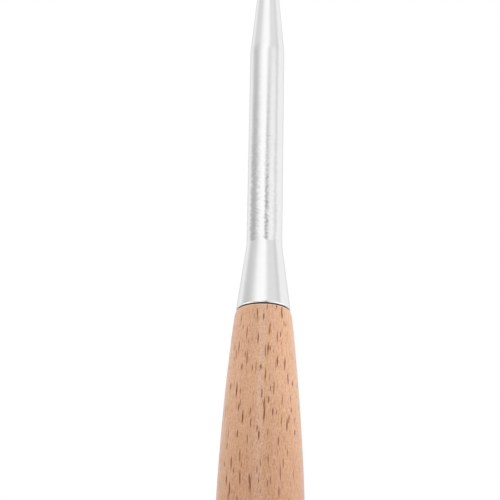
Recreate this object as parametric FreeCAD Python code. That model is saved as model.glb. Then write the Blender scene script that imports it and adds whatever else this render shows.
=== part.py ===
import FreeCAD, Part
import math
import os

# Scratch awl, built from the pieces that come apart on a bench:
#   spike    ground steel rod: conical point, round shank, square shoulder and a glued tang
#   ferrule  hollow turned steel cone, held between the spike's shoulder and the wood
#   handle   turned beech, with a tenon for the ferrule and a blind hole for the tang
#   bond     cured epoxy in the tang hole, round the tenon and under the ferrule's mouth
#
# A station is a distance in millimetres along the awl's axis. Station 0 is the ferrule's
# mouth; the point is at a positive station and the butt at a negative one.
# The finished awl lies on its side: point towards +Y, +Z up, and the origin on the
# ground under the middle of its length and width.

# ---- spike
shank_dia = 6.5
shank_len = 40.2              # from the shoulder to the start of the taper
taper_len = 33.6              # from the start of the taper to the tip
taper_blend_radius = 16.0     # eases the shank into the taper
point_radius = 0.15           # the sharp end is stoned to this radius
tang_dia = 4.0
tang_len = 47.0               # from the shoulder to the tang's end
tang_chamfer = 0.5
tang_flat_len = 12.0          # two flats at the end keep the tang from turning
tang_flat_depth = 0.4
groove_width = 1.2            # turned grooves give the epoxy something to grip
groove_depth = 0.3
groove_pitch = 4.0
groove_count = 4

# ---- ferrule
ferrule_len = 12.75           # its small end is flush with the shank
mouth_dia = 9.84              # where the cone would end if its lip were sharp
mouth_round = 0.25            # polished lip at the mouth
socket_dia = 7.0              # takes the tenon
socket_depth = 5.5
tang_clearance = 0.05         # all round, between the tang and the ferrule's bore

# ---- handle
handle_len = 88.0             # from the ferrule's mouth to the end of the butt
belly_dia = 15.8
belly_station = -50.7         # where the handle is thickest
belly_radius = 455.0          # the long curve of the handle's side
dome_len = 3.4                # height of the domed butt
dome_round = 4.0              # softens the dome's rim
front_ease_len = 1.7          # the side is sanded in over this length behind the ferrule
front_ease_radius = 7.0
arris_round = 0.1             # breaks the wood's front edge
tenon_end_chamfer = 0.4
drill_point_angle = 118.0

# ---- bond
tang_film = 0.2               # epoxy between the tang and its hole, all round
tenon_film = 0.1              # epoxy between the tenon and its socket, all round
mouth_film = 0.18             # epoxy between the ferrule's mouth and the wood
tenon_end_film = 0.3          # epoxy between the tenon's end and the socket's floor
hole_end_room = 2.0           # epoxy below the tang's end
mouth_film_setback = 0.35     # the epoxy stops this far inside the mouth's diameter

# ---- worked out from the sizes above
shank_r = shank_dia / 2
tang_r = tang_dia / 2
mouth_r = mouth_dia / 2
socket_r = socket_dia / 2
belly_r = belly_dia / 2
ferrule_bore_r = tang_r + tang_clearance
tang_hole_r = tang_r + tang_film
tenon_r = socket_r - tenon_film
tenon_end = socket_depth - tenon_end_film
wood_front = -mouth_film
tang_end = ferrule_len - tang_len
hole_floor = tang_end - hole_end_room
taper_start = ferrule_len + shank_len
tip = taper_start + taper_len
butt = -handle_len


def point(station, radius):
    return FreeCAD.Vector(radius, station, 0)


def arc(start, middle, end):
    return Part.Arc(point(*start), point(*middle), point(*end)).toShape()


def path(*corners):
    """Straight edges from corner to corner."""
    return rounded_path([(corner, 0) for corner in corners])


def rounded_path(corners):
    """Straight edges from corner to corner, each corner eased by its own tangent arc.

    A corner is ((station, radius), rounding); the two ends and square corners have none.
    """
    places = [point(*corner) for corner, rounding in corners]
    edges = []
    start = places[0]
    for before, place, after, (corner, rounding) in zip(places, places[1:], places[2:], corners[1:]):
        back = (before - place).normalize()
        onward = (after - place).normalize()
        half = back.getAngle(onward) / 2
        leave = place + back * (rounding / math.tan(half))
        rejoin = place + onward * (rounding / math.tan(half))
        middle = place + (back + onward).normalize() * (rounding / math.sin(half) - rounding)
        edges.append(Part.LineSegment(start, leave).toShape())
        if rounding:
            edges.append(Part.Arc(leave, middle, rejoin).toShape())
        start = rejoin
    edges.append(Part.LineSegment(start, places[-1]).toShape())
    return edges


def turn(edges):
    """The solid that a closed outline sweeps when it is turned round the axis."""
    face = Part.Face(Part.Wire(edges))
    return face.revolve(FreeCAD.Vector(), FreeCAD.Vector(0, 1, 0), 360)


def rod(radius, start, end):
    """A plain cylinder on the axis, from one station to another."""
    return turn(path((start, 0), (start, radius), (end, radius), (end, 0), (start, 0)))


def is_rim(edge, station, radius):
    """Whether an edge is the circle at a station and radius."""
    if edge.Degenerated or not isinstance(edge.Curve, Part.Circle):
        return False
    circle = edge.Curve
    return abs(circle.Center.y - station) < 1e-4 and abs(circle.Radius - radius) < 1e-4


def ease(solid, round_radius, station, radius):
    """Round the solid's circular edge at a station and radius."""
    return solid.makeFillet(round_radius, [e for e in solid.Edges if is_rim(e, station, radius)])


def side_radius(station):
    """Radius of the handle's long side curve at a station."""
    run = station - belly_station
    return belly_r - belly_radius + math.sqrt(belly_radius**2 - run**2)


def front_radius(station):
    """Radius of the sanded-in front of the side: an arc that touches the long side curve."""
    share = front_ease_radius / belly_radius
    touch = -front_ease_len
    centre_station = touch + share * (belly_station - touch)
    centre_radius = side_radius(touch) + share * (belly_r - belly_radius - side_radius(touch))
    return centre_radius + math.sqrt(front_ease_radius**2 - (station - centre_station) ** 2)


def spike():
    centre = tip - point_radius
    reach = centre - taper_start
    half_angle = math.atan2(shank_r, reach) - math.asin(point_radius / math.hypot(reach, shank_r))
    cone_end = (centre + point_radius * math.sin(half_angle), point_radius * math.cos(half_angle))
    halfway = math.radians(45) + half_angle / 2
    nose = (centre + point_radius * math.sin(halfway), point_radius * math.cos(halfway))
    edges = rounded_path([
        ((tip, 0), 0),
        ((tang_end, 0), 0),
        ((tang_end, tang_r - tang_chamfer), 0),
        ((tang_end + tang_chamfer, tang_r), 0),
        ((ferrule_len, tang_r), 0),
        ((ferrule_len, shank_r), 0),
        ((taper_start, shank_r), taper_blend_radius),
        (cone_end, 0),
    ])
    edges.append(arc(cone_end, nose, (tip, 0)))
    return turn(edges).cut([tang_grooves(), tang_flats()])


def tang_grooves():
    first = tang_end + tang_flat_len + groove_pitch / 2
    rings = []
    for turn_number in range(groove_count):
        start = first + turn_number * groove_pitch
        end = start + groove_width
        rings.append(rod(tang_dia, start, end).cut(rod(tang_r - groove_depth, start, end)))
    return Part.Compound(rings)


def tang_flats():
    """Two blocks, one each side of the tang, that leave flats when they are cut away."""
    blocks = []
    for side in (-1, 1):
        block = Part.makeBox(tang_dia, tang_flat_len, 2 * tang_dia)
        inner = side * (tang_r - tang_flat_depth)
        low_x = inner if side > 0 else inner - tang_dia
        block.translate(FreeCAD.Vector(low_x, tang_end, -tang_dia))
        blocks.append(block)
    return Part.Compound(blocks)


def ferrule():
    return turn(rounded_path([
        ((0, socket_r), 0),
        ((0, mouth_r), mouth_round),
        ((ferrule_len, shank_r), 0),
        ((ferrule_len, ferrule_bore_r), 0),
        ((socket_depth, ferrule_bore_r), 0),
        ((socket_depth, socket_r), 0),
        ((0, socket_r), 0),
    ]))


def handle():
    front_r = front_radius(wood_front)
    touch = -front_ease_len
    front_middle = (touch + wood_front) / 2
    rim = (butt + dome_len, side_radius(butt + dome_len))
    side_middle = (touch + rim[0]) / 2
    dome_radius = (rim[1]**2 + dome_len**2) / (2 * dome_len)
    half_way = math.asin(rim[1] / dome_radius) / 2
    dome_middle = (butt + dome_radius * (1 - math.cos(half_way)), dome_radius * math.sin(half_way))
    edges = [arc((butt, 0), dome_middle, rim)]
    edges.append(arc(rim, (side_middle, side_radius(side_middle)), (touch, side_radius(touch))))
    front_top = (front_middle, front_radius(front_middle))
    edges.append(arc((touch, side_radius(touch)), front_top, (wood_front, front_r)))
    edges += path(
        (wood_front, front_r),
        (wood_front, tenon_r),
        (tenon_end - tenon_end_chamfer, tenon_r),
        (tenon_end, tenon_r - tenon_end_chamfer),
        (tenon_end, 0),
        (butt, 0),
    )
    solid = turn(edges)
    solid = ease(solid, dome_round, *rim)
    solid = ease(solid, arris_round, wood_front, front_r)
    return solid.cut(tang_hole())


def tang_hole():
    """The drilled hole in the wood, from its pointed floor to the tenon's end."""
    point_depth = tang_hole_r / math.tan(math.radians(drill_point_angle / 2))
    return turn(path(
        (hole_floor - point_depth, 0),
        (hole_floor, tang_hole_r),
        (tenon_end, tang_hole_r),
        (tenon_end, 0),
        (hole_floor - point_depth, 0),
    ))


def bond():
    sleeve = rod(socket_r, 0, socket_depth)
    mouth = rod(mouth_r - mouth_film_setback, wood_front, 0)
    room = sleeve.fuse([mouth, tang_hole()])
    return room.cut([handle(), spike()]).removeSplitter()


def write(name, solid):
    """Lay the solid on its side in the finished frame and save it."""
    solid = solid.copy()
    solid.translate(FreeCAD.Vector(0, -(tip + butt) / 2, belly_r))
    solid.exportStep(os.path.join("parts", name + ".step"))


os.makedirs("parts", exist_ok=True)
write("spike", spike())
write("ferrule", ferrule())
write("handle", handle())
write("bond", bond())
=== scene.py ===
import math
import bmesh
import bpy
from mathutils import Matrix, Vector


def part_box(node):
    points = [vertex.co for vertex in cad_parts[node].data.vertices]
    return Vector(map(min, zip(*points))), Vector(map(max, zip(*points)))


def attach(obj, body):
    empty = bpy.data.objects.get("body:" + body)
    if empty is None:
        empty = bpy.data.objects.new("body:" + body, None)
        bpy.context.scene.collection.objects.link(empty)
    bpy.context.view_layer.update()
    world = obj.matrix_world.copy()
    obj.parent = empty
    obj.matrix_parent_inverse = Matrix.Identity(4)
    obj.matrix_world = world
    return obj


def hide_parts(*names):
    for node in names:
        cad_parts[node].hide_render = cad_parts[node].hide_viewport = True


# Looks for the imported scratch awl. Lengths in this file are millimetres, and become metres
# only where a vertex, a light or the camera is made. The awl lies along +Y, point first.

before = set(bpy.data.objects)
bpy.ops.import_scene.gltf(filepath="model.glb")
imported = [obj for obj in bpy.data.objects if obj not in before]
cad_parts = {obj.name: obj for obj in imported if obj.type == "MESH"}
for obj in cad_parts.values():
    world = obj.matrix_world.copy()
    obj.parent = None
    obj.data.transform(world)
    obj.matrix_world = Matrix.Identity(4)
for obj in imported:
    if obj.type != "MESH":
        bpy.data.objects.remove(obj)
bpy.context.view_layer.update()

MM = 0.001


def node_box(name):
    """A CAD node's lowest and highest corners, in millimetres."""
    low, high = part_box(name)
    return low / MM, high / MM


spike_low, spike_high = node_box("spike")
ferrule_low, ferrule_high = node_box("ferrule")
handle_low, handle_high = node_box("handle")

# ---- sizes read from the frame
AXIS_HEIGHT = (handle_low.z + handle_high.z) / 2
TIP = spike_high.y
TANG_END = spike_low.y
SHANK_R = (spike_high.x - spike_low.x) / 2
SHOULDER = ferrule_high.y
MOUTH = ferrule_low.y
BUTT = handle_low.y
TENON_END = handle_high.y
BELLY_R = (handle_high.x - handle_low.x) / 2

# ---- sizes that repeat the CAD source
MOUTH_R = 4.92
MOUTH_ROUND = 0.25
TAPER_LEN = 33.6
TAPER_BLEND_R = 16.0
POINT_R = 0.15
TANG_R = 2.0
TANG_CHAMFER = 0.5
FLATS_END = TANG_END + 12.0
TANG_FLAT_X = TANG_R - 0.4
GROOVE_WIDTH = 1.2
GROOVE_DEPTH = 0.3
GROOVE_PITCH = 4.0
GROOVE_COUNT = 4
FERRULE_BORE_R = 2.05
SOCKET_R = 3.5
SOCKET_DEPTH = 5.5
TENON_R = 3.4
TENON_END_CHAMFER = 0.4
TANG_HOLE_R = 2.2
HOLE_FLOOR = TANG_END - 2.0
DRILL_POINT_LEN = TANG_HOLE_R / math.tan(math.radians(118 / 2))
MOUTH_FILM = 0.18
BELLY_STATION = MOUTH - 50.7
BELLY_CURVE_R = 455.0
DOME_LEN = 3.4
DOME_ROUND = 4.0
FRONT_EASE_LEN = 1.7
FRONT_EASE_R = 7.0
ARRIS_ROUND = 0.1

# ---- how finely the meshes are made
TURN_STEPS = 192              # vertices round each ring of a turned mesh
RING_STEP = 0.6               # longest run between two rings
ROUND_STEP = math.radians(4)  # turn between two rings on a rounded corner
TIP_STEPS = 12                # rings on the rounded tip
DOME_STEPS = 24               # rings on the dome, and on the arc at its rim
STEP_RUN = 0.01               # run of outline that makes the step at the end of the tang's flats
ON_AXIS = 1e-6                # an outline point with a smaller radius is on the axis


# ---------------------------------------------------------------- outlines and turned meshes

# the centre of the handle's long side curve, as (y, r)
SIDE_CENTRE = Vector((BELLY_STATION, BELLY_R - BELLY_CURVE_R))


def side_r(y):
    """The handle's radius on its long side curve."""
    return BELLY_R - BELLY_CURVE_R + math.sqrt(BELLY_CURVE_R**2 - (y - BELLY_STATION) ** 2)


def front_r(y):
    """The radius where sanding eases the handle's side in to its front edge."""
    touch = Vector((MOUTH - FRONT_EASE_LEN, side_r(MOUTH - FRONT_EASE_LEN)))
    centre = touch.lerp(SIDE_CENTRE, FRONT_EASE_R / BELLY_CURVE_R)
    return centre.y + math.sqrt(FRONT_EASE_R**2 - (y - centre.x) ** 2)


def eased(corners):
    """Outline points through (y, r, rounding) corners, each corner eased by a tangent arc."""
    places = [Vector(corner[:2]) for corner in corners]
    points = [places[0]]
    for before, place, after, corner in zip(places, places[1:], places[2:], corners[1:]):
        back = (before - place).normalized()
        onward = (after - place).normalized()
        rounding = corner[2]
        if not rounding:
            points.append(place)
            continue
        half = back.angle(onward) / 2
        centre = place + (back + onward).normalized() * (rounding / math.sin(half))
        start = place + back * (rounding / math.tan(half)) - centre
        sweep = math.pi - 2 * half
        if back.x * onward.y - back.y * onward.x > 0:
            sweep = -sweep
        steps = max(4, math.ceil(abs(sweep) / ROUND_STEP))
        for step in range(steps + 1):
            points.append(centre + Matrix.Rotation(sweep * step / steps, 2) @ start)
    points.append(places[-1])
    return points


def subdivided(points, longest=RING_STEP):
    """The same outline with its long straight runs cut into short ones."""
    result = [points[0]]
    for start, end in zip(points, points[1:]):
        pieces = max(1, math.ceil((end - start).length / longest))
        result += [start.lerp(end, step / pieces) for step in range(1, pieces + 1)]
    return result


def turned(name, outline, closed=False, flats=None):
    """A mesh turned round the awl's axis from (y, r) points; a closed outline makes a ring.

    flats is a (y, x) pair: below y the piece is cut by two flats that stand x from the axis.
    """
    mesh = bmesh.new()
    rings = []
    for y, r in outline:
        if r < ON_AXIS:
            rings.append([mesh.verts.new((0, y * MM, AXIS_HEIGHT * MM))])
            continue
        ring = []
        for step in range(TURN_STEPS):
            angle = 2 * math.pi * step / TURN_STEPS
            x = r * math.sin(angle)
            if flats and y < flats[0]:
                x = max(-flats[1], min(flats[1], x))
            z = AXIS_HEIGHT + r * math.cos(angle)
            ring.append(mesh.verts.new((x * MM, y * MM, z * MM)))
        rings.append(ring)
    pairs = list(zip(rings, rings[1:]))
    if closed:
        pairs.append((rings[-1], rings[0]))
    for near, far in pairs:
        for step in range(TURN_STEPS):
            after = (step + 1) % TURN_STEPS
            if len(near) == 1:
                mesh.faces.new((near[0], far[after], far[step]))
            elif len(far) == 1:
                mesh.faces.new((near[step], near[after], far[0]))
            else:
                mesh.faces.new((near[step], near[after], far[after], far[step]))
    bmesh.ops.recalc_face_normals(mesh, faces=mesh.faces)
    data = bpy.data.meshes.new(name)
    mesh.to_mesh(data)
    mesh.free()
    data.shade_smooth()
    data.set_sharp_from_angle(angle=math.radians(30))
    piece = bpy.data.objects.new(name, data)
    bpy.context.scene.collection.objects.link(piece)
    return piece


def tang_corners():
    """The tang from its chamfered end, past its flats and turned grooves, to the shoulder."""
    corners = [
        (TANG_END, 0, 0),
        (TANG_END, TANG_R - TANG_CHAMFER, 0),
        (TANG_END + TANG_CHAMFER, TANG_R, 0),
        (FLATS_END, TANG_R, 0),
        (FLATS_END + STEP_RUN, TANG_R, 0),
    ]
    first = FLATS_END + GROOVE_PITCH / 2
    for number in range(GROOVE_COUNT):
        start = first + number * GROOVE_PITCH
        end = start + GROOVE_WIDTH
        floor_r = TANG_R - GROOVE_DEPTH
        corners += [(start, TANG_R, 0), (start, floor_r, 0), (end, floor_r, 0), (end, TANG_R, 0)]
    return corners + [(SHOULDER, TANG_R, 0)]


def spike_outline():
    """The spike from the tang's end to the tip, whose rounding touches the taper's cone."""
    taper_start = TIP - TAPER_LEN
    centre = TIP - POINT_R
    reach = centre - taper_start
    slope = math.atan2(SHANK_R, reach) - math.asin(POINT_R / math.hypot(reach, SHANK_R))
    cone_end = (centre + POINT_R * math.sin(slope), POINT_R * math.cos(slope), 0)
    points = subdivided(eased(tang_corners() + [
        (SHOULDER, SHANK_R, 0),
        (taper_start, SHANK_R, TAPER_BLEND_R),
        cone_end,
    ]))
    for step in range(1, TIP_STEPS + 1):
        angle = slope + (math.pi / 2 - slope) * step / TIP_STEPS
        points.append(Vector((centre + POINT_R * math.sin(angle), POINT_R * math.cos(angle))))
    points[-1] = Vector((TIP, 0))
    return points


def ferrule_outline():
    """A closed outline, from the socket's rim over the cone and back through the bore."""
    corners = [
        (MOUTH, SOCKET_R, 0),
        (MOUTH, MOUTH_R, MOUTH_ROUND),
        (SHOULDER, SHANK_R, 0),
        (SHOULDER, FERRULE_BORE_R, 0),
        (MOUTH + SOCKET_DEPTH, FERRULE_BORE_R, 0),
        (MOUTH + SOCKET_DEPTH, SOCKET_R, 0),
        (MOUTH, SOCKET_R, 0),
    ]
    return subdivided(eased(corners))[:-1]


def handle_outline():
    """The handle from the middle of its butt, along its side and round its tenon, to the hole."""
    rim_y = BUTT + DOME_LEN
    rim_r = side_r(rim_y)
    dome_r = (rim_r**2 + DOME_LEN**2) / (2 * DOME_LEN)
    dome_centre = Vector((BUTT + dome_r, 0))
    # the dome and the side meet at an angle, softened by an arc that touches both
    inside_dome = dome_r - DOME_ROUND
    inside_side = BELLY_CURVE_R - DOME_ROUND
    arc_centre = circle_meeting(dome_centre, inside_dome, SIDE_CENTRE, inside_side)
    on_dome = (arc_centre - dome_centre).normalized()
    on_side = (arc_centre - SIDE_CENTRE).normalized()
    points = []
    full = math.atan2(on_dome.y, -on_dome.x)
    for step in range(DOME_STEPS):
        angle = full * step / DOME_STEPS
        points.append(dome_centre + dome_r * Vector((-math.cos(angle), math.sin(angle))))
    start = math.atan2(on_dome.y, on_dome.x)
    end = math.atan2(on_side.y, on_side.x)
    for step in range(DOME_STEPS + 1):
        angle = start + (end - start) * step / DOME_STEPS
        points.append(arc_centre + DOME_ROUND * Vector((math.cos(angle), math.sin(angle))))
    touch = MOUTH - FRONT_EASE_LEN
    points += curve(side_r, points[-1].x, touch, RING_STEP)
    front = MOUTH - MOUTH_FILM
    before_arris = front - 2 * ARRIS_ROUND
    points += curve(front_r, touch, before_arris, RING_STEP / 4)
    corners = [
        (before_arris, front_r(before_arris), 0),
        (front, front_r(front), ARRIS_ROUND),
        (front, TENON_R, 0),
        (TENON_END - TENON_END_CHAMFER, TENON_R, 0),
        (TENON_END, TENON_R - TENON_END_CHAMFER, 0),
        (TENON_END, TANG_HOLE_R, 0),
        (HOLE_FLOOR, TANG_HOLE_R, 0),
        (HOLE_FLOOR - DRILL_POINT_LEN, 0, 0),
    ]
    return points + subdivided(eased(corners))


def curve(radius, start, end, longest):
    """Points along a radius function, from just after start to just before end."""
    steps = math.ceil((end - start) / longest)
    stations = [start + (end - start) * step / steps for step in range(1, steps)]
    return [Vector((y, radius(y))) for y in stations]


def circle_meeting(first, first_r, second, second_r):
    """The point nearer the butt where two circles in the outline's plane cross."""
    between = second - first
    gap = between.length
    along = (gap**2 + first_r**2 - second_r**2) / (2 * gap)
    across = math.sqrt(first_r**2 - along**2)
    direction = between / gap
    side = Vector((-direction.y, direction.x))
    options = [first + direction * along + side * across, first + direction * along - side * across]
    return min(options, key=lambda place: place.x)


# ---------------------------------------------------------------- materials

class Shader:
    """A node tree, with short calls for the nodes used here."""

    def __init__(self, tree):
        self.tree = tree
        self.tree.nodes.clear()

    def node(self, kind, **settings):
        made = self.tree.nodes.new(kind)
        for key, value in settings.items():
            setattr(made, key, value)
        return made

    def link(self, source, target):
        self.tree.links.new(source, target)

    def put(self, socket, value):
        """Set a socket to a constant, or link it to another node's output."""
        if isinstance(value, bpy.types.NodeSocket):
            self.link(value, socket)
        else:
            socket.default_value = value

    def math(self, operation, *values):
        made = self.node("ShaderNodeMath", operation=operation)
        for socket, value in zip(made.inputs, values):
            self.put(socket, value)
        return made.outputs[0]

    def add(self, first, second):
        return self.math("ADD", first, second)

    def times(self, first, second):
        return self.math("MULTIPLY", first, second)

    def vector(self, operation, *values):
        made = self.node("ShaderNodeVectorMath", operation=operation)
        sockets = [socket for socket in made.inputs if socket.enabled]
        for socket, value in zip(sockets, values):
            self.put(socket, value)
        return made.outputs["Vector"]

    def split(self, vector):
        made = self.node("ShaderNodeSeparateXYZ")
        self.put(made.inputs[0], vector)
        return made.outputs

    def combine(self, x, y, z):
        made = self.node("ShaderNodeCombineXYZ")
        for socket, value in zip(made.inputs, (x, y, z)):
            self.put(socket, value)
        return made.outputs[0]

    def noise(self, vector, detail=2.0, roughness=0.5):
        """Noise round 0.5, with features about one unit of the vector across."""
        made = self.node("ShaderNodeTexNoise")
        self.put(made.inputs["Vector"], vector)
        made.inputs["Scale"].default_value = 1
        made.inputs["Detail"].default_value = detail
        made.inputs["Roughness"].default_value = roughness
        return made.outputs["Fac"]

    def length(self, vector):
        made = self.node("ShaderNodeVectorMath", operation="LENGTH")
        self.put(made.inputs[0], vector)
        return made.outputs["Value"]

    def between(self, value, low, high, to_low=0.0, to_high=1.0, ease="SMOOTHSTEP"):
        """value eased from low..high to to_low..to_high."""
        made = self.node("ShaderNodeMapRange", interpolation_type=ease)
        names = ("Value", "From Min", "From Max", "To Min", "To Max")
        for name, given in zip(names, (value, low, high, to_low, to_high)):
            self.put(made.inputs[name], given)
        return made.outputs["Result"]

    def mix(self, share, first, second, blend="MIX"):
        made = self.node("ShaderNodeMix", data_type="RGBA", blend_type=blend)
        self.put(made.inputs["Factor"], share)
        colours = [socket for socket in made.inputs if socket.type == "RGBA"]
        self.put(colours[0], first)
        self.put(colours[1], second)
        return [socket for socket in made.outputs if socket.type == "RGBA"][0]

    def bump(self, height, strength, depth, under=None):
        """A bumped normal; depth is the millimetres that one unit of height stands for."""
        made = self.node("ShaderNodeBump")
        self.put(made.inputs["Strength"], strength)
        made.inputs["Distance"].default_value = depth * MM
        self.link(height, made.inputs["Height"])
        if under:
            self.link(under, made.inputs["Normal"])
        return made.outputs["Normal"]


class Surface(Shader):
    """A material with one Principled surface."""

    def __init__(self, name):
        self.material = bpy.data.materials.new(name)
        self.material.use_nodes = True
        super().__init__(self.material.node_tree)
        self.principled = self.node("ShaderNodeBsdfPrincipled")
        output = self.node("ShaderNodeOutputMaterial")
        self.link(self.principled.outputs["BSDF"], output.inputs["Surface"])

    def set(self, **values):
        """Set or link Principled sockets; Base_Color is the socket "Base Color"."""
        for name, value in values.items():
            self.put(self.principled.inputs[name.replace("_", " ")], value)

    def places(self):
        """Place on the piece in millimetres, measured from the awl's axis."""
        coordinates = self.node("ShaderNodeTexCoord").outputs["Object"]
        return self.vector("SUBTRACT", self.vector("SCALE", coordinates, 1 / MM), (0, 0, AXIS_HEIGHT))

    def moved(self, place, x, y, z):
        """The place shifted, so that each noise shows a part of its pattern that no other does."""
        return self.vector("ADD", place, (x, y, z))

    def stretched(self, place, x, y, z):
        """The place with each axis scaled by its own number of features per millimetre."""
        return self.vector("MULTIPLY", place, (x, y, z))

    def spots(self, place, size, randomness=1.0):
        """Offset in millimetres from the nearest scattered spot, and three random numbers.

        size is the spacing of the spots along x, y and z.
        """
        cells = self.node("ShaderNodeTexVoronoi", voronoi_dimensions="3D", feature="F1")
        cell_place = self.vector("DIVIDE", place, size)
        self.link(cell_place, cells.inputs["Vector"])
        cells.inputs["Scale"].default_value = 1
        cells.inputs["Randomness"].default_value = randomness
        away = self.vector("SUBTRACT", cell_place, cells.outputs["Position"])
        return self.split(self.vector("MULTIPLY", away, size)), self.split(cells.outputs["Color"])


# ---- beech

BEECH_PINK = (0.670, 0.378, 0.242, 1)
BEECH_TAN = (0.660, 0.390, 0.218, 1)
LATE_WOOD = (0.50, 0.27, 0.15, 1)
VEIN = (0.60, 0.310, 0.165, 1)
DARK_FIBRE = (0.44, 0.200, 0.095, 1)
PALE_FIBRE = (0.80, 0.51, 0.36, 1)
# painted highlight down the middle of the handle
PAINTED_HIGHLIGHT = (0.76, 0.50, 0.38, 1)
# painted highlight along the handle's front edge
PAINTED_EDGE_HIGHLIGHT = (0.86, 0.66, 0.50, 1)
# these three are multiplied with the wood's colour; the last is painted shade, darker towards the butt
RAY_SHADE = (0.33, 0.135, 0.02, 1)
PORE_SHADE = (0.60, 0.45, 0.40, 1)
PAINTED_BUTT_SHADE = (0.85, 0.80, 0.76, 1)


def flecks(s, place, spacing, half_len, half_width, share):
    """Spindles along the grain, 1 inside and 0 outside; share of the cells have one.

    The cells are sheared along the grain, so that the spindles don't lie in rows.
    """
    shear = 0.4 * spacing[1] / spacing[0]
    x, y, z = s.split(place)
    away, chance = s.spots(s.combine(x, s.add(y, s.times(x, shear)), z), spacing, 0.8)
    reach = s.between(chance[0], 0, 1, half_len * 0.55, half_len * 1.25)
    along = s.math("DIVIDE", s.math("SUBTRACT", away[1], s.times(away[0], shear)), reach)
    depth = s.math("DIVIDE", away[2], spacing[2] * 0.9)
    off_centre = s.add(s.times(along, along), s.times(depth, depth))
    width = s.times(s.math("SUBTRACT", 1, off_centre), half_width)
    inside = s.math("SUBTRACT", width, s.math("ABSOLUTE", away[0]))
    soft = half_width * 0.45
    mask = s.between(inside, -soft * 0.4, soft)
    strength = s.between(chance[1], 1 - share, 1.0, 0.6, 1.0)
    present = s.math("GREATER_THAN", chance[1], 1 - share)
    return s.times(mask, s.times(strength, present))


def beech():
    """Turned and lightly oiled beech: x is across the grain, y along it, z across the rings."""
    s = Surface("beech")
    place = s.places()

    # the grain wanders a few degrees either way
    sway = s.noise(s.stretched(s.moved(place, 31.0, 7.0, 3.0), 0.03, 0.024, 0.03), detail=1.0)
    sway = s.times(s.add(sway, -0.5), 7.0)
    x, y, z = s.split(place)
    grain = s.combine(s.add(x, sway), y, z)

    # broad changes of colour
    mottle = s.noise(s.stretched(grain, 0.9, 0.05, 0.9), detail=2.0)
    colour = s.mix(s.between(mottle, 0.35, 0.65), BEECH_PINK, BEECH_TAN)

    # growth rings round a pith far below
    from_pith = s.moved(grain, 11.0, 0, 46.0)
    radius = s.length(s.vector("MULTIPLY", from_pith, (1, 0, 1)))
    ring_wobble = s.noise(s.stretched(grain, 0.12, 0.02, 0.12), detail=2.0)
    rings = s.times(s.add(radius, s.times(ring_wobble, 5.0)), 0.42)
    late = s.between(s.math("FRACT", rings), 0.55, 1.0)
    colour = s.mix(s.times(late, 0.20), colour, LATE_WOOD)

    # veins, and dark and pale fibres
    veins = s.noise(s.stretched(s.moved(grain, 17.0, 3.0, 40.0), 2.6, 0.14, 2.6), detail=3.0)
    colour = s.mix(s.between(veins, 0.50, 0.64, 0.0, 0.55), colour, VEIN)
    fibres = s.noise(s.stretched(grain, 5.5, 0.7, 5.5), detail=4.0, roughness=0.8)
    colour = s.mix(s.between(fibres, 0.46, 0.66, 0.0, 0.7), colour, DARK_FIBRE)
    pale = s.stretched(s.moved(grain, 5.0, 50.0, 9.0), 5.5, 2.2, 5.5)
    pale = s.noise(pale, detail=3.0, roughness=0.8)
    colour = s.mix(s.between(pale, 0.50, 0.66, 0.0, 0.8), colour, PALE_FIBRE)

    # a painted highlight: a pale streak, broken up by noise, down the middle of the handle where the
    # light is reflected
    from_highlight = s.math("ABSOLUTE", s.add(s.add(x, s.times(sway, 0.25)), 0.15))
    highlight_breakup = s.noise(s.stretched(s.moved(grain, 60.0, 5.0, 9.0), 6.0, 4.0, 6.0), detail=2.0)
    highlight_mask = s.times(s.between(from_highlight, 1.1, 0.3), s.between(highlight_breakup, 0.42, 0.60, 0.0, 0.75))
    colour = s.mix(highlight_mask, colour, PAINTED_HIGHLIGHT)

    # medullary rays: dark spindles on the flat-sawn faces, with shorter, fainter ones between
    rays = flecks(s, grain, (1.7, 4.4, 5.0), 1.35, 0.155, 0.9)
    more_rays = flecks(s, s.moved(grain, 7.4, 31.9, 2.2), (1.9, 4.9, 6.0), 1.2, 0.145, 0.8)
    short_rays = flecks(s, s.moved(grain, 3.3, 1.7, 5.1), (1.1, 2.8, 3.6), 0.7, 0.09, 0.5)
    marks = s.math("MAXIMUM", s.math("MAXIMUM", rays, more_rays), s.times(short_rays, 0.38))
    # fainter on the quarter-sawn sides and on the end grain, where the rays are cut otherwise
    across, along, _ = s.split(s.node("ShaderNodeTexCoord").outputs["Normal"])
    marks = s.times(marks, s.between(s.math("ABSOLUTE", across), 0.80, 0.97, 1.0, 0.25))
    marks = s.times(marks, s.between(s.math("ABSOLUTE", along), 0.35, 0.8, 1.0, 0.3))
    colour = s.mix(marks, colour, RAY_SHADE, blend="MULTIPLY")

    # pores: fine short lines
    pores = s.between(s.noise(s.stretched(grain, 11.0, 1.1, 11.0), detail=1.0), 0.63, 0.72)
    colour = s.mix(s.times(pores, 0.35), colour, PORE_SHADE, blend="MULTIPLY")

    # a painted highlight makes the front edge paler, and painted shade darkens the wood towards the
    # butt
    edge = s.between(y, MOUTH - 0.45, MOUTH - 0.30, 0.0, 0.5)
    colour = s.mix(edge, colour, PAINTED_EDGE_HIGHLIGHT)
    butt_shade_mask = s.between(y, MOUTH - 8.7, MOUTH - 38.7)
    colour = s.mix(butt_shade_mask, colour, PAINTED_BUTT_SHADE, blend="MULTIPLY")

    fuzz = s.noise(s.stretched(place, 5.0, 3.5, 5.0), detail=2.0)
    s.set(Base_Color=colour, Roughness=s.between(fuzz, 0.25, 0.75, 0.30, 0.44))
    s.set(Sheen_Weight=0.7, Sheen_Roughness=0.3, Specular_IOR_Level=0.5)
    raised = s.bump(s.add(fibres, s.times(fuzz, 0.5)), 0.5, 0.06)
    s.set(Normal=s.bump(s.add(pores, s.times(marks, 0.6)), 0.5, -0.03, under=raised))
    return s.material


# ---- steel and glue

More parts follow.
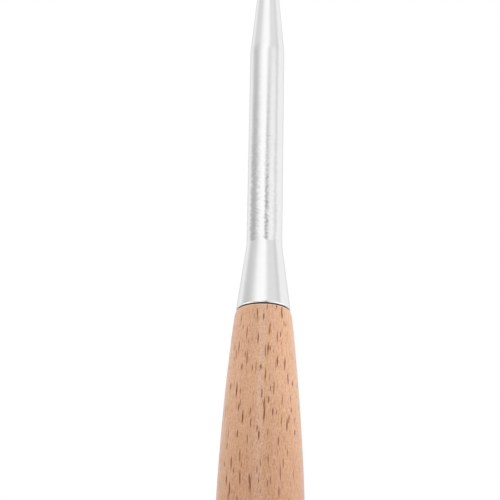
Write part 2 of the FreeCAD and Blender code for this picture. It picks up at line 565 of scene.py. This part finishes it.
STEEL_GREY = (0.88, 0.88, 0.88, 1)
STEEL_BRIGHT = (0.93, 0.93, 0.93, 1)
# painted shade of the joint at the ferrule's mouth
PAINTED_JOINT_SHADE = (0.055, 0.040, 0.032, 1)
GLUE_DARK = (0.030, 0.020, 0.014, 1)
GLUE_BROWN = (0.055, 0.036, 0.025, 1)


def steel(name, roughness):
    """Bare steel brushed round the axis: its surface, places, brushing direction and colour."""
    s = Surface(name)
    place = s.places()
    around = s.node("ShaderNodeTangent", direction_type="RADIAL", axis="Y").outputs[0]
    s.set(Metallic=1.0, Tangent=around, Anisotropic=0.5, Anisotropic_Rotation=0.25)
    stain = s.noise(s.stretched(place, 0.5, 0.35, 0.5), detail=3.0)
    colour = s.mix(stain, STEEL_GREY, STEEL_BRIGHT)
    smear = s.noise(s.stretched(place, 0.7, 6.0, 0.7), detail=3.0)
    s.set(Roughness=s.between(smear, 0.25, 0.75, roughness - 0.03, roughness + 0.03))
    return s, place, around, colour


def scratched(s, around, marks, cross_marks, slope):
    """The normal tipped round the axis by one noise and, half as far, along it by another."""
    normal = s.node("ShaderNodeNewGeometry").outputs["Normal"]
    along = s.vector("CROSS_PRODUCT", around, normal)
    half = s.times(slope, 0.5)
    tipped = s.vector("SCALE", around, s.times(s.add(marks, -0.5), slope))
    tipped_along = s.vector("SCALE", along, s.times(s.add(cross_marks, -0.5), half))
    return s.vector("NORMALIZE", s.vector("ADD", normal, s.vector("ADD", tipped, tipped_along)))


def ground_steel():
    """Ground round stock: marks run round it, slightly askew, and coarser towards the ferrule."""
    s, place, around, colour = steel("ground_steel", 0.14)
    x, y, z = s.split(place)
    askew = s.combine(x, s.add(y, s.times(x, 0.5)), z)
    strokes = s.noise(s.stretched(askew, 1.2, 4.6, 1.2), detail=0.0)
    crossed = s.combine(x, s.add(y, s.times(x, -0.5)), z)
    strays = s.noise(s.stretched(crossed, 1.2, 4.2, 1.2), detail=0.0)
    slope = s.between(y, TIP - TAPER_LEN, SHOULDER + 4.0, 0.03, 0.28)
    s.set(Base_Color=colour, Normal=scratched(s, around, strokes, strays, slope))
    return s.material


def turned_steel():
    """Fine turning marks round the ferrule, and a few pits; its mouth is darkened by painted shade."""
    s, place, around, colour = steel("turned_steel", 0.15)
    turning = s.noise(s.stretched(place, 0.35, 5.0, 0.35), detail=3.0)
    patches = s.noise(s.stretched(place, 0.9, 0.9, 0.9), detail=3.0)
    away, chance = s.spots(place, (1.6, 1.6, 1.6))
    pit = s.between(s.length(s.combine(*away)), 0.16, 0.05)
    pit = s.times(pit, s.math("GREATER_THAN", chance[0], 0.6))
    pitted = s.bump(pit, 0.6, 0.025)
    dent = s.vector("SUBTRACT", pitted, s.node("ShaderNodeNewGeometry").outputs["Normal"])
    turned_normal = s.vector("ADD", scratched(s, around, patches, turning, 0.06), dent)

    # the lip is burnished, so it catches the light further up than its rounding, least on top
    x, y, z = s.split(place)
    from_mouth = s.add(y, -MOUTH)
    from_top = s.math("ABSOLUTE", s.math("ARCTAN2", x, z))
    burnish = s.times(s.between(from_mouth, 0.45, 0.25), s.between(from_top, 0.1, 0.5, -0.15, -0.75))
    s.set(Normal=s.vector("NORMALIZE", s.vector("ADD", turned_normal, s.combine(0, burnish, 0))))

    # painted shade: the lip is darkened up from the mouth, where the joint lies in shade, furthest on
    # top
    reach = s.between(from_top, 0.26, 0.15, 0.07, 0.14)
    joint_shade_mask = s.between(s.math("SUBTRACT", from_mouth, reach), 0.025, -0.025)
    s.set(Metallic=s.math("SUBTRACT", 1, joint_shade_mask), Base_Color=s.mix(joint_shade_mask, colour, PAINTED_JOINT_SHADE))
    return s.material


def epoxy():
    s = Surface("epoxy")
    cloud = s.noise(s.stretched(s.places(), 1.2, 1.2, 1.2), detail=2.0)
    s.set(Base_Color=s.mix(cloud, GLUE_DARK, GLUE_BROWN), Roughness=0.35)
    return s.material


# ---------------------------------------------------------------- stage, light and camera

# What the polished steel sees round the awl: degrees from overhead towards +X, brightness. Each
# row starts with how many degrees its directions lean along the awl. The levels aren't free
# choices: they started from the brightness measured across the steel in the photo and were changed
# until the render's bands agreed with it. Away from the photo's angle they are guesses. The real
# room is unknown.
ROOM = (
    (22.5, (
        (-180, .62), (-160, .70), (-146, .88), (-120, .92), (-110, .80), (-103, .58), (-90, .48),
        (-78, .44), (-66, .50), (-56, .64), (-46, .83), (-36, .97), (-26, 1.05), (-9, 1.08),
        (-1, .80), (4, .38), (12, .38), (18, .68), (27, .94), (38, .98), (50, .98), (60, .86),
        (68, .76), (76, .75), (84, .91), (92, .97), (140, .93), (160, .72), (180, .62),
    )),
    (29.0, (
        (-180, .62), (-160, .70), (-146, .88), (-120, .92), (-108, .76), (-92, .62), (-80, .58),
        (-68, .64), (-56, .79), (-46, .93), (-36, 1.02), (-26, 1.08), (-4, 1.09), (4, .97),
        (11, .84), (19, .76), (26, .85), (36, .93), (48, .96), (58, .90), (67, .78), (75, .77),
        (84, .92), (92, .96), (140, .93), (160, .72), (180, .62),
    )),
    (32.5, (
        (-180, .62), (-160, .70), (-146, .86), (-122, .92), (-112, .86), (-102, .71), (-90, .66),
        (-68, .66), (-56, .72), (-46, .84), (-36, .98), (-26, 1.06), (2, 1.12), (10, 1.02),
        (18, .87), (27, .755), (38, .74), (50, .755), (60, .72), (68, .67), (76, .67), (84, .79),
        (92, .93), (140, .92), (160, .72), (180, .62),
    )),
)

# The same for what is behind the butt: white walls on both sides and a grey middle, placed to light
# the ferrule's lip where it is bright in the photo and to suit the views from the point's end.
BEHIND = (
    (-180, .70), (-125, .80), (-108, 1.00), (-100, 1.28), (-60, 1.28), (-50, .80), (-40, .50),
    (-28, .55), (-16, .95), (-6, 1.05), (2, .80), (9, .42), (18, .45), (28, .70), (40, .62),
    (50, .85), (60, 1.28), (100, 1.28), (108, 1.00), (125, .80), (180, .70),
)


def room_band(s, share, stops):
    """A ramp round the awl's axis from (degrees, brightness) stops."""
    ramp = s.node("ShaderNodeValToRGB")
    elements = ramp.color_ramp.elements
    elements.remove(elements[-1])
    for number, (degrees, level) in enumerate(stops):
        place = (degrees + 180) / 360
        element = elements[0] if number == 0 else elements.new(place)
        element.position = place
        element.color = (level, level, level, 1)
    s.link(share, ramp.inputs[0])
    return ramp.outputs[0]


def studio():
    """A pale room for light and reflections, darker at both ends; the camera sees plain white."""
    world = bpy.data.worlds.new("studio")
    bpy.context.scene.world = world
    world.use_nodes = True
    s = Shader(world.node_tree)
    x, y, z = s.split(s.node("ShaderNodeTexCoord").outputs["Generated"])
    share = s.math("MULTIPLY_ADD", s.math("ARCTAN2", x, z), 0.5 / math.pi, 0.5)
    lean = s.math("ABSOLUTE", y)  # the sine of how far a direction leans along the awl
    room = room_band(s, share, ROOM[0][1])
    for (low, _), (high, stops) in zip(ROOM, ROOM[1:]):
        step = s.between(lean, math.sin(math.radians(low)), math.sin(math.radians(high)), ease="LINEAR")
        room = s.mix(step, room, room_band(s, share, stops))
    room = s.mix(s.between(lean, 0.54, 0.63, 0.0, 0.3), room, (0.95, 0.95, 0.95, 1))
    room = s.mix(s.between(y, -0.10, -0.30), room, room_band(s, share, BEHIND))
    room = s.mix(s.between(lean, 0.76, 0.93), room, (0.62, 0.62, 0.62, 1), blend="MULTIPLY")

    lit = s.node("ShaderNodeBackground")
    s.link(room, lit.inputs["Color"])
    backdrop = s.node("ShaderNodeBackground")
    backdrop.inputs["Strength"].default_value = 1.0
    backdrop.inputs["Color"].default_value = (1, 1, 1, 1)
    choose = s.node("ShaderNodeMixShader")
    s.link(s.node("ShaderNodeLightPath").outputs["Is Camera Ray"], choose.inputs[0])
    s.link(lit.outputs[0], choose.inputs[1])
    s.link(backdrop.outputs[0], choose.inputs[2])
    s.link(choose.outputs[0], s.node("ShaderNodeOutputWorld").inputs["Surface"])


def softbox(name, place, aim, width, height, power):
    """A soft light that steel doesn't mirror; place, aim and sizes in millimetres."""
    data = bpy.data.lights.new(name, "AREA")
    data.shape = "RECTANGLE"
    data.size = width * MM
    data.size_y = height * MM
    data.energy = power
    light = bpy.data.objects.new(name, data)
    bpy.context.scene.collection.objects.link(light)
    light.location = Vector(place) * MM
    light.rotation_euler = (Vector(aim) - Vector(place)).to_track_quat("-Z", "Y").to_euler()
    light.visible_glossy = False


def floor():
    """A plain floor, white to the camera and softly lit from itself."""
    data = bpy.data.meshes.new("floor")
    reach = 3000 * MM
    corners = [(-reach, -reach, 0), (reach, -reach, 0), (reach, reach, 0), (-reach, reach, 0)]
    data.from_pydata(corners, [], [(0, 1, 2, 3)])
    plane = bpy.data.objects.new("floor", data)
    bpy.context.scene.collection.objects.link(plane)
    plane.visible_glossy = False
    s = Surface("floor_white")
    for_camera = s.node("ShaderNodeLightPath").outputs["Is Camera Ray"]
    paint = s.math("MULTIPLY_ADD", for_camera, -0.45, 0.45)
    s.set(Base_Color=s.combine(paint, paint, paint), Roughness=0.9, Specular_IOR_Level=0.0)
    s.set(Emission_Color=(1, 1, 1, 1))
    s.set(Emission_Strength=s.math("MULTIPLY_ADD", for_camera, 0.42, 0.58))
    data.materials.append(s.material)


# Lens and distances in millimetres, angles in degrees. The lens and the elevation come from taking
# the shank to be a true cylinder. The roll, the aim and the distance were then fitted, by a script
# that isn't kept, to the awl's edges in the photo.
CAMERA_LENS = 105.84
CAMERA_ELEVATION = 68.3
CAMERA_ROLL = 1.125
CAMERA_AIM_X = -2.6
CAMERA_AIM_AHEAD = 11.875     # how far ahead of the ferrule's mouth the camera looks
CAMERA_DISTANCE = 268.35


def camera():
    """It looks down on the awl from behind the butt, square to the X axis but for its roll."""
    data = bpy.data.cameras.new("camera")
    data.sensor_width = 36
    data.lens = CAMERA_LENS
    data.clip_start = 10 * MM
    data.clip_end = 20000 * MM
    data.dof.use_dof = False
    made = bpy.data.objects.new("camera", data)
    bpy.context.scene.collection.objects.link(made)
    rise = math.radians(CAMERA_ELEVATION)
    back = Vector((0, -math.cos(rise), math.sin(rise)))
    across = Vector((1, 0, 0))
    up = back.cross(across)
    turn = Matrix((across, up, back)).transposed() @ Matrix.Rotation(math.radians(CAMERA_ROLL), 3, "Z")
    aim = Vector((CAMERA_AIM_X, MOUTH + CAMERA_AIM_AHEAD, AXIS_HEIGHT))
    made.matrix_world = Matrix.Translation((aim + back * CAMERA_DISTANCE) * MM) @ turn.to_4x4()
    bpy.context.scene.camera = made


# ---------------------------------------------------------------- the awl

def dress(piece, material, node):
    """Let a piece with its material stand for a CAD node."""
    piece.data.materials.append(material)
    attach(piece, "root")
    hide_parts(node)


camera()
floor()
studio()
softbox("key", (200, 150, 220), (0, -20, AXIS_HEIGHT), 160, 160, 0.22)
softbox("left_fill", (-260, 0, 60), (0, 0, AXIS_HEIGHT), 300, 90, 0.20)
softbox("right_fill", (260, 0, 60), (0, 0, AXIS_HEIGHT), 300, 90, 0.20)
bpy.context.scene.view_settings.view_transform = "Standard"

spike = turned("steel_spike", spike_outline(), flats=(FLATS_END + STEP_RUN / 2, TANG_FLAT_X))
dress(spike, ground_steel(), "spike")
ferrule = turned("steel_ferrule", ferrule_outline(), closed=True)
dress(ferrule, turned_steel(), "ferrule")
handle = turned("beech_handle", handle_outline())
dress(handle, beech(), "handle")
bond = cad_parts["bond"]
bond.data.materials.clear()
bond.data.materials.append(epoxy())
